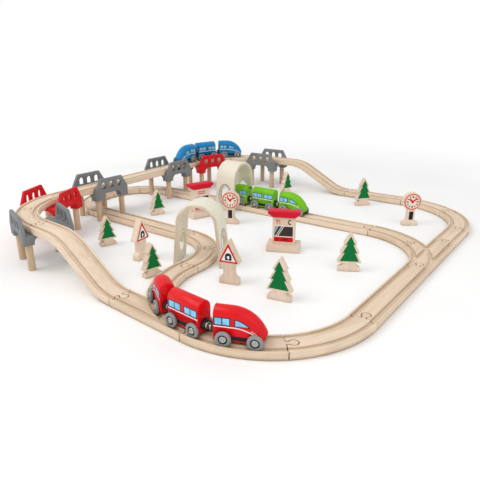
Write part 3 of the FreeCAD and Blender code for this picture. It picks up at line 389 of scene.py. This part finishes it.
def rounded(thing, width, limit):
    bevel = thing.modifiers.new("rounding", "BEVEL")
    bevel.width = width * MM
    bevel.segments = 2
    bevel.limit_method = limit
    bevel.angle_limit = ROUNDED_ABOVE
    bevel.use_clamp_overlap = False
    bevel.harden_normals = True


GRAIN_ALONG = {"long": long_axis, "face": lambda group: facing_of(group) + math.pi / 2}


def mark_rounded(mesh, sharp):
    """Weights the edges to be rounded: the bent ones outside the places kept sharp."""
    weight = mesh.edges.layers.float.new("bevel_weight_edge")
    for edge in mesh.edges:
        middle = (edge.verts[0].co + edge.verts[1].co) / 2
        bent = edge.is_manifold and edge.calc_face_angle() > ROUNDED_ABOVE
        edge[weight] = 1.0 if bent and not sharp(middle) else 0.0


def dressed(node, material, rounding, along="long", upright=False, depth=None, sharp=None):
    """Stands for a CAD node: its own mesh with rounded edges, and a grain coordinate
    that follows each solid. Returns the object, and the frame and height of each solid."""
    mesh = welded(node)
    grain = mesh.verts.layers.float_vector.new("grain")
    tint = mesh.verts.layers.float.new("tint")
    layer = mesh.verts.layers.float.new("layer")
    solids = []
    for index, group in enumerate(loose_parts(mesh)):
        spot = frame_at(group, GRAIN_ALONG[along](group))
        solids.append((spot, max(vertex.co.z for vertex in group) / MM))
        back = spot.inverted()
        for vertex in group:
            local = back @ vertex.co / MM
            if upright:
                local = Vector((local.z, local.x, local.y))
            vertex[grain] = local + GRAIN_STEP * index
            vertex[tint] = (index * TINT_STEP) % 1.0
            if depth:
                vertex[layer] = depth(back @ vertex.co / MM)
    if sharp:
        mark_rounded(mesh, sharp)
    thing = finish_object(node + "_look", mesh, [material], frame["nodes"][node]["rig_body"])
    rounded(thing, rounding, "WEIGHT" if sharp else "ANGLE")
    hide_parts(node)
    return thing, solids


# ---------------------------------------------------------------- flat prints


class Prints:
    """Thin printed shapes gathered by ink, one object per ink at the end."""

    def __init__(self, name, body):
        self.name = name
        self.body = body
        self.meshes = {}

    def plate(self, material, points, spot, layer=1):
        """A flat outline, in millimetres in the XZ plane of a frame whose -Y looks
        out of the face. Higher layers stand a hair further out."""
        if material not in self.meshes:
            self.meshes[material] = bmesh.new()
        mesh = self.meshes[material]
        front, back = [], []
        for x, z in points:
            front.append(mesh.verts.new(spot @ Vector((x, -INK_LIFT * layer, z))))
            back.append(mesh.verts.new(spot @ Vector((x, INK_ROOT, z))))
        mesh.faces.new(front)
        mesh.faces.new(back[::-1])
        count = len(points)
        for index in range(count):
            after = (index + 1) % count
            mesh.faces.new((front[after], front[index], back[index], back[after]))

    def done(self):
        for material, mesh in self.meshes.items():
            bmesh.ops.recalc_face_normals(mesh, faces=mesh.faces)
            finish_object("%s_%s" % (self.name, material.name), mesh, [material], self.body,
                          smooth=False)


def face_frame(spot, offset, side):
    """The frame, in millimetres, of the -Y (side 1) or +Y (side -1) face of a solid
    whose floor frame is spot; offset is how far the face is from its middle."""
    turn = Matrix.Rotation(0 if side > 0 else math.pi, 4, "Z")
    return spot @ Matrix.Scale(MM, 4) @ turn @ Matrix.Translation((0, -offset, 0))


def rectangle(left, right, low, high):
    return [(left, low), (right, low), (right, high), (left, high)]


def disc(centre_x, centre_z, radius, count=48):
    return [(centre_x + radius * math.cos(2 * math.pi * step / count),
             centre_z + radius * math.sin(2 * math.pi * step / count)) for step in range(count)]


def stroke(points, thickness):
    """A line of even thickness along points that do not turn sharply."""
    upper, lower = [], []
    for index, (x, z) in enumerate(points):
        before = points[max(index - 1, 0)]
        after = points[min(index + 1, len(points) - 1)]
        reach = math.hypot(after[0] - before[0], after[1] - before[1])
        nx, nz = -(after[1] - before[1]) / reach, (after[0] - before[0]) / reach
        upper.append((x + nx * thickness / 2, z + nz * thickness / 2))
        lower.append((x - nx * thickness / 2, z - nz * thickness / 2))
    return lower + upper[::-1]


def mirrored(right):
    return right + [(-x, z) for x, z in reversed(right) if abs(x) > 1e-6]


# --------------------------------------------------------------------- tracks

for track in ("straight_tracks", "corner_curves", "inner_curves", "switch_left", "switch_right",
              "ramp_tracks"):
    dressed(track, BEECH, 0.8)
dressed("bridge_legs", DOWEL, 0.5, upright=True)
dressed("bridge_bodies_grey", GREY, 1.0)
dressed("bridge_bodies_red", RED, 1.0)

# -------------------------------------------------------------------- tunnels

CROWN, TUNNEL_TOP, TUNNEL_HALF, TUNNEL_WALL = 37.0, 109.0, 44.0, 6.5
CROWN_Z = TUNNEL_TOP - CROWN
PORTHOLE_Z, PORTHOLE_HALF_WIDTH, PORTHOLE_HALF_HEIGHT = 38.0, 12.5, 20.0
touch_angle = (math.atan2(-CROWN_Z, TUNNEL_HALF)
               + math.acos(CROWN / math.hypot(TUNNEL_HALF, CROWN_Z)))
LEAN = (math.cos(touch_angle), math.sin(touch_angle))


def depth_in_arch(local):
    """How deep under the arch's outer skin a point is: 0 outside, 1 inside."""
    across = abs(local.x)
    if local.z > CROWN_Z + CROWN * LEAN[1]:
        depth = CROWN - math.hypot(across, local.z - CROWN_Z)
    else:
        depth = CROWN - (across * LEAN[0] + (local.z - CROWN_Z) * LEAN[1])
    return min(1.0, max(0.0, depth / TUNNEL_WALL))


def porthole_rim(mesh, spot, side, grow, thickness):
    """A thin dark ring round the opening, on the outer skin of a leaning leg."""
    rings = []
    for reach in (grow, grow + thickness):
        ring = []
        for step in range(RING_STEPS):
            angle = 2 * math.pi * step / RING_STEPS
            y = (PORTHOLE_HALF_WIDTH + reach) * math.cos(angle)
            z = PORTHOLE_Z + (PORTHOLE_HALF_HEIGHT + reach) * math.sin(angle)
            x = (CROWN + 0.08 - (z - CROWN_Z) * LEAN[1]) / LEAN[0]
            ring.append(mesh.verts.new(spot @ (Vector((x * side, y, z)) * MM)))
        rings.append(ring)
    for step in range(RING_STEPS):
        after = (step + 1) % RING_STEPS
        mesh.faces.new((rings[0][step], rings[0][after], rings[1][after], rings[1][step]))


tunnels, tunnel_solids = dressed("tunnel_arches", PLY, 0.7, "face", depth=depth_in_arch)
tunnels.data.materials.append(PLY_EDGE)
tunnel_spots = [spot for spot, height in tunnel_solids]
for polygon in tunnels.data.polygons:
    nearest = min(tunnel_spots, key=lambda spot: (spot.translation - polygon.center).length)
    if abs(nearest.to_3x3().col[1].dot(polygon.normal)) > 0.95:
        polygon.material_index = 1
rims = bmesh.new()
for spot in tunnel_spots:
    for side in SIDES:
        porthole_rim(rims, spot, side, 0.9, 0.7)
        porthole_rim(rims, spot, side, 3.4, 1.3)
finish_object("tunnel_rims", rims, [RIM_INK], "layout", smooth=False)

# -------------------------------------------------------------------- scenery

BOARD_HALF = 6.0
BOOTH_HALF = 8.0
TREE_HEIGHT = 66.0
TREE_PRINT = mirrored([(15.6, 18.0), (8.2, 32.8), (12.0, 32.0), (4.6, 47.4), (7.8, 46.6),
                       (0.5, 61.0)])


def on_faces(prints, boards, offset, draw):
    """Draws on the front and the back of each board."""
    for spot, height in boards:
        for side in SIDES:
            draw(prints, face_frame(spot, offset, side), height)
    prints.done()


def draw_tree(prints, face, height):
    size = height / TREE_HEIGHT
    prints.plate(GREEN_INK, [(x * size, z * size) for x, z in TREE_PRINT], face)


def triangle(half, low, high, corner):
    """An upright triangle with cut corners."""
    lean = half / (high - low)
    return mirrored([(half - corner, low), (half - corner * lean * 0.6, low + corner * 1.2),
                     (corner * 0.4, high)])


def arch(half, foot, shoulder, rise):
    """An upright opening with a round top."""
    curve = [(half * math.cos(step * math.pi / 12), shoulder + rise * math.sin(step * math.pi / 12))
             for step in range(13)]
    return [(half, foot)] + curve + [(-half, foot)]


def draw_sign(prints, face, height):
    """A warning triangle with a tunnel mouth in it."""
    foot = height - 36.4
    prints.plate(RED_INK, triangle(15.6, foot - 0.6, height - 6.0, 1.2), face)
    prints.plate(WHITE_INK, triangle(11.9, foot + 2.0, height - 12.0, 0.6), face, 2)
    prints.plate(BLACK_INK, arch(5.4, foot + 3.4, foot + 9.8, 5.6), face, 3)
    prints.plate(WHITE_INK, arch(2.0, foot + 6.2, foot + 8.8, 2.2), face, 4)
    prints.plate(WHITE_INK, [(-0.6, foot + 3.6), (0.6, foot + 3.6), (0.3, foot + 6.2),
                             (-0.3, foot + 6.2)], face, 4)


def draw_clock(prints, face, height):
    """A dial with a double rim, twelve ticks and two hands."""
    middle = height - 19.0
    for radius, material, layer in ((17.2, RED_INK, 1), (15.5, PALE_INK, 2), (14.9, RED_INK, 3),
                                    (14.4, PALE_INK, 4)):
        prints.plate(material, disc(0.0, middle, radius), face, layer)
    for hour in range(12):
        angle = math.radians(30 * hour)
        ahead = (math.sin(angle), math.cos(angle))
        start = 9.4 if hour % 3 else 8.6
        line = [(ahead[0] * reach, middle + ahead[1] * reach) for reach in (start, 12.8)]
        prints.plate(BLACK_INK, stroke(line, 1.9 if hour % 3 else 2.5), face, 5)
    for angle, reach, thickness in ((50, 11.4, 3.0), (-48, 9.0, 3.6)):
        across, up = math.sin(math.radians(angle)), math.cos(math.radians(angle))
        hand = stroke([(-across, middle - up), (reach * across, middle + reach * up)], thickness)
        prints.plate(RED_INK, hand, face, 6)
    prints.plate(RED_INK, disc(0.0, middle - 0.8, 2.2, 24), face, 7)
    prints.plate(BLACK_INK, rectangle(-4.4, 4.4, 13.0, middle - 21.0), face)


def draw_station(prints, face, _height):
    """A dark display over a red panel, with marks or a name board above."""
    prints.plate(RED_INK, rectangle(-17.5, 17.5, 16.6, 25.6), face)
    prints.plate(BLACK_INK, disc(-12.2, 21.0, 2.2, 20), face, 2)
    prints.plate(RED_INK, disc(-11.4, 21.0, 1.2, 16), face, 3)
    for row, right in enumerate((9.0, 7.4, 9.0)):
        low = 19.0 + row * 1.6
        prints.plate(BLACK_INK, rectangle(-2.0, right, low, low + 1.0), face, 2)
    prints.plate(WHITE_INK, rectangle(-18.0, 18.0, 26.4, 47.2), face)
    prints.plate(SCREEN_INK, rectangle(-17.0, 17.0, 27.4, 46.2), face, 2)
    prints.plate(GREY_INK, [(-17.0, 30.4), (-8.6, 46.2), (-17.0, 46.2)], face, 3)
    for left in (-14.6, -11.2):
        prints.plate(WHITE_INK, [(left, 27.4), (left + 1.3, 27.4), (left + 12.0, 46.2),
                                 (left + 10.7, 46.2)], face, 4)
    if face.translation.x < 0:
        draw_name_board(prints, face)
    else:
        draw_marks(prints, face)


def draw_name_board(prints, face):
    """Two rows of short red bars where a name would be."""
    for row, widths in enumerate(((5.0, 3.4, 6.2), (3.2, 6.6, 4.4))):
        left = -9.6
        for width in widths:
            low = 55.6 - row * 4.2
            prints.plate(RED_INK, rectangle(left, left + width, low, low + 2.4), face)
            left += width + 1.4


def draw_marks(prints, face):
    """A red fork and knife, and a black telephone receiver."""
    for x in (-13.6, -12.0, -10.4):
        prints.plate(RED_INK, rectangle(x - 0.4, x + 0.4, 55.6, 59.2), face)
    prints.plate(RED_INK, rectangle(-14.0, -10.0, 54.8, 55.8), face, 2)
    prints.plate(RED_INK, rectangle(-12.5, -11.5, 49.8, 55.0), face)
    prints.plate(RED_INK, [(-7.6, 49.8), (-6.6, 49.8), (-6.6, 59.2), (-8.4, 57.0), (-8.4, 54.0),
                           (-7.6, 53.6)], face)
    arc = [(11.2 + 3.0 * math.cos(math.radians(angle)), 54.4 + 3.8 * math.sin(math.radians(angle)))
           for angle in range(100, 261, 16)]
    prints.plate(BLACK_INK, stroke(arc, 1.7), face)
    prints.plate(BLACK_INK, rectangle(10.0, 12.8, 56.8, 59.2), face, 2)
    prints.plate(BLACK_INK, rectangle(10.0, 12.8, 49.6, 52.0), face, 2)


for node, offset, upright, draw in (
        ("fir_trees", BOARD_HALF, True, draw_tree),
        ("tunnel_signs", BOARD_HALF, True, draw_sign),
        ("clock_posts", BOARD_HALF, True, draw_clock),
        ("station_stands", BOOTH_HALF, False, draw_station)):
    boards = dressed(node, BOARD, 0.8, "face", upright)[1]
    on_faces(Prints(node + "_print", "layout"), boards, offset, draw)
dressed("station_roofs", ROOF_RED, 1.6, "face")

# ----------------------------------------------------------------------- cars

ENDS = ("front", "rear")
AXLE_HEIGHT = 18.95
AXLE_OPENING = 3.4
HUB_RADIUS = 6.0
CAR_HALF_WIDTH = 11.0
NOSE_CENTRE = (-11.15, 11.5)
NOSE_WINDOW_BACK = 5.6


def lathed(mesh, profile, spot, dark_inside=None):
    """Turns a profile of (radius, distance along the axis) about a frame's Y."""
    layers = mesh.verts.layers.float_vector
    grain = layers.get("grain") or layers.new("grain")
    rings = []
    for radius, along in profile:
        ring = []
        for step in range(LATHE_STEPS if radius > 0 else 1):
            angle = 2 * math.pi * step / LATHE_STEPS
            local = Vector((radius * math.cos(angle), along, radius * math.sin(angle)))
            vertex = mesh.verts.new(spot @ (local * MM))
            vertex[grain] = local
            ring.append(vertex)
        rings.append(ring)
    for near, far, (radius, _) in zip(rings, rings[1:], profile):
        for step in range(LATHE_STEPS):
            after = (step + 1) % LATHE_STEPS
            if len(near) == 1:
                face = mesh.faces.new((near[0], far[step], far[after]))
            elif len(far) == 1:
                face = mesh.faces.new((near[step], far[0], near[after]))
            else:
                face = mesh.faces.new((near[step], far[step], far[after], near[after]))
            face.smooth = True
            if dark_inside and radius < dark_inside:
                face.material_index = 1


WHEEL_PROFILE = [(1.6, 11.6), (9.2, 11.6), (9.75, 11.8), (10.0, 12.3), (10.0, 14.9), (9.8, 15.35),
                 (9.3, 15.6), (6.7, 15.6), (6.25, 15.45), (5.95, 15.1), (5.8, 14.4), (1.6, 14.4)]
CAP_PROFILE = [(0.0, -11.6), (1.5, -11.6), (1.5, 14.35), (4.5, 14.4), (4.6, 14.8), (4.4, 15.5),
               (3.8, 16.0), (3.0, 16.28), (2.3, 16.28), (1.9, 16.0), (1.6, 15.3), (0.0, 15.2)]
MAGNET_PROFILE = [(0.0, -2.5), (4.4, -2.5), (4.4, 1.9), (4.15, 2.35), (3.6, 2.5), (2.0, 2.5),
                  (1.6, 2.3), (1.3, 1.8), (0.0, 1.7)]


def axle_places(car):
    """The middles of a car's front and rear axles."""
    return [Vector(joints["%s_%s_wheels_roll" % (car, end)]["pos_m"]) for end in ENDS]


def car_frame(car):
    """A car's frame on the underside of the track, X from its rear wheels to its front."""
    front, rear = axle_places(car)
    ahead = front - rear
    middle = (front + rear) / 2 - Vector((0, 0, AXLE_HEIGHT * MM))
    return Matrix.Translation(middle) @ Matrix.Rotation(math.atan2(ahead.y, ahead.x), 4, "Z")


def wheelset(car, end, where, spot):
    """Two recessed wheels with dark hubs, and the capped axle through them."""
    node = "%s_%s_wheels" % (car, end)
    turn = spot.to_3x3().to_4x4()
    discs, axle = bmesh.new(), bmesh.new()
    for side in SIDES:
        flip = Matrix.Rotation(0 if side > 0 else math.pi, 4, "Z")
        outward = Matrix.Translation(where) @ turn @ flip
        lathed(discs, WHEEL_PROFILE, outward, HUB_RADIUS)
        lathed(axle, CAP_PROFILE, outward)
    for mesh, suffix, materials in ((discs, "_discs", [WHEEL, HUB]), (axle, "_axle", [CHROME])):
        bmesh.ops.recalc_face_normals(mesh, faces=mesh.faces)
        thing = finish_object(node + suffix, mesh, materials, node)
        thing.data.set_sharp_from_angle(angle=math.radians(50))
        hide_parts(node)


def magnets(car, spot):
    """Turned discs with a dimple, in place of the plain magnets."""
    node = car + "_magnets"
    mesh, source = bmesh.new(), welded(node)
    ahead = spot.to_3x3().col[0]
    for group in loose_parts(source):
        centre = sum((vertex.co for vertex in group), Vector()) / len(group)
        outward = ahead if (centre - spot.translation).dot(ahead) > 0 else -ahead
        turn = Matrix.Rotation(math.atan2(outward.y, outward.x) - math.pi / 2, 4, "Z")
        lathed(mesh, MAGNET_PROFILE, Matrix.Translation(centre) @ turn)
    source.free()
    bmesh.ops.recalc_face_normals(mesh, faces=mesh.faces)
    thing = finish_object(node + "_look", mesh, [NICKEL], car)
    thing.data.set_sharp_from_angle(angle=math.radians(50))
    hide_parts(node)


def near_axles(car, spot):
    """Tells whether a point, in metres, lies close round one of a car's axles."""
    front, rear = axle_places(car)
    half_wheelbase = (front - rear).length / 2
    back = spot.inverted()

    def near(point):
        local = back @ point
        distance = math.hypot(abs(local.x) - half_wheelbase, local.z - AXLE_HEIGHT * MM)
        return distance < AXLE_OPENING * MM

    return near


def nose_arc(radius, low):
    """Points of a window's top edge that follow the nose, from its tip upwards."""
    reach = math.sqrt(radius ** 2 - (low - NOSE_CENTRE[1]) ** 2)
    start = math.atan2(low - NOSE_CENTRE[1], reach)
    end = math.acos(NOSE_WINDOW_BACK / radius)
    angles = [start + (end - start) * step / 8 for step in range(9)]
    return [(NOSE_CENTRE[0] + radius * math.cos(angle), NOSE_CENTRE[1] + radius * math.sin(angle))
            for angle in angles]


def window_pair(left, pane, middle):
    """The frame and the two panes of a pair of windows."""
    right = left + pane * 2 + middle
    return (rectangle(left - 1.3, right + 1.3, 35.8, 46.6),
            [rectangle(left, left + pane, 37.0, 45.5), rectangle(right - pane, right, 37.0, 45.5)])


def car_prints(car, spot, is_engine):
    prints = Prints(car + "_print", car)

    def both(material, points, layer=1):
        for side in SIDES:
            prints.plate(material, [(x * side, z) for x, z in points],
                         face_frame(spot, CAR_HALF_WIDTH, side), layer)

    pairs = [window_pair(-30.0, 8.3, 1.3)] if is_engine else [window_pair(-24.6, 9.6, 1.3),
                                                              window_pair(4.1, 9.6, 1.3)]
    for outline, panes in pairs:
        both(BLACK_INK, outline)
        for pane in panes:
            both(PANE_INK, pane, 2)
    if is_engine:
        outline = nose_arc(34.9, 36.2)
        both(BLACK_INK, outline + [(outline[-1][0], 36.2)])
        pane = [(x, z) for x, z in nose_arc(33.8, 37.0) if x > -5.0]
        both(PANE_INK, pane + [(-4.7, pane[-1][1]), (-4.7, 37.0)], 2)
        both(WHITE_INK, stroke([(-31.4, 34.4), (-6.0, 34.4), (0.0, 33.9), (5.0, 32.8), (10.0, 31.2),
                                (15.0, 29.2), (18.5, 27.2)], 1.3))
        both(WHITE_INK, stroke([(14.0, 32.6), (18.0, 30.4), (21.0, 28.2)], 0.7))
    else:
        both(WHITE_INK, stroke([(-26.6, 34.4), (26.6, 34.4)], 1.3))
    both(BLACK_INK, rectangle(-9.6, 9.6, 17.6, 23.4))
    prints.done()


for train in ("red", "green", "blue"):
    for role in ("front_engine", "coach", "rear_engine"):
        car = "%s_%s" % (train, role)
        spot = car_frame(car)
        dressed(car + "_body", CAR_PAINT[train], 1.2, sharp=near_axles(car, spot))
        dressed(car + "_chassis", CHASSIS, 0.5)
        magnets(car, spot)
        for end, where in zip(ENDS, axle_places(car)):
            wheelset(car, end, where, spot)
        car_prints(car, spot, role != "coach")

# ---------------------------------------------------------- floor, light, view


def floor():
    """Pale paper that fades into the white backdrop well beyond the layout."""
    made = Shader("floor_paper", 0.9, own_grain=False)
    cloud = made.noise((0.004, 0.004, 0.004), 2.0)
    made.colour(made.ramp(cloud, [(0.3, (0.88, 0.88, 0.88)), (0.7, (0.91, 0.91, 0.91))]))
    reach = made.add("ShaderNodeVectorMath")
    reach.operation = "LENGTH"
    made.link(made.add("ShaderNodeNewGeometry").outputs["Position"], reach.inputs[0])
    far = made.add("ShaderNodeMapRange")
    far.inputs["From Min"].default_value = 0.7
    far.inputs["From Max"].default_value = 2.0
    made.link(reach.outputs["Value"], far.inputs["Value"])
    made.surface.inputs["Emission Color"].default_value = (1.0, 1.0, 1.0, 1.0)
    glow = made.add("ShaderNodeMath")
    glow.operation = "MULTIPLY"
    glow.inputs[1].default_value = 0.35
    made.link(far.outputs["Result"], glow.inputs[0])
    made.link(glow.outputs["Value"], made.surface.inputs["Emission Strength"])
    mesh = bmesh.new()
    bmesh.ops.create_grid(mesh, x_segments=1, y_segments=1, size=30.0)
    data = bpy.data.meshes.new("floor")
    mesh.to_mesh(data)
    mesh.free()
    data.materials.append(made.material)
    thing = bpy.data.objects.new("floor", data)
    thing.location.z = -0.0002
    bpy.context.scene.collection.objects.link(thing)


def area_light(name, place, aim, size, power, tint):
    data = bpy.data.lights.new(name, "AREA")
    data.size = size
    data.energy = power
    data.color = tint
    lamp = bpy.data.objects.new(name, data)
    lamp.location = place
    lamp.rotation_euler = (Vector(aim) - Vector(place)).to_track_quat("-Z", "Y").to_euler()
    bpy.context.scene.collection.objects.link(lamp)


floor()
area_light("key", (-0.9, -1.3, 1.9), (0, 0, 0), 1.4, 20, (1.0, 0.98, 0.95))
area_light("fill", (1.6, -0.6, 1.2), (0, 0, 0), 1.8, 7, (0.96, 0.98, 1.0))


def studio_world():
    """Even white light from all round, and a plain white backdrop."""
    world = bpy.data.worlds.new("studio")
    world.use_nodes = True
    tree = world.node_tree
    path = tree.nodes.new("ShaderNodeLightPath")
    strength = tree.nodes.new("ShaderNodeMapRange")
    strength.inputs["To Min"].default_value = 0.82
    strength.inputs["To Max"].default_value = 1.0
    tree.links.new(path.outputs["Is Camera Ray"], strength.inputs["Value"])
    tree.nodes["Background"].inputs["Color"].default_value = (1.0, 1.0, 1.0, 1.0)
    tree.links.new(strength.outputs["Result"], tree.nodes["Background"].inputs["Strength"])
    bpy.context.scene.world = world


studio_world()
bpy.context.scene.view_settings.view_transform = "Standard"

camera_data = bpy.data.cameras.new("camera")
camera_data.lens = 36.75
camera_data.sensor_width = 36.0
camera_data.clip_start = 0.01
camera_data.clip_end = 50
camera = bpy.data.objects.new("camera", camera_data)
camera.location = (0.6093, -0.7800, 0.3280)
camera.rotation_euler = (math.radians(69.9), 0, math.radians(37.0))
bpy.context.scene.collection.objects.link(camera)
bpy.context.scene.camera = camera
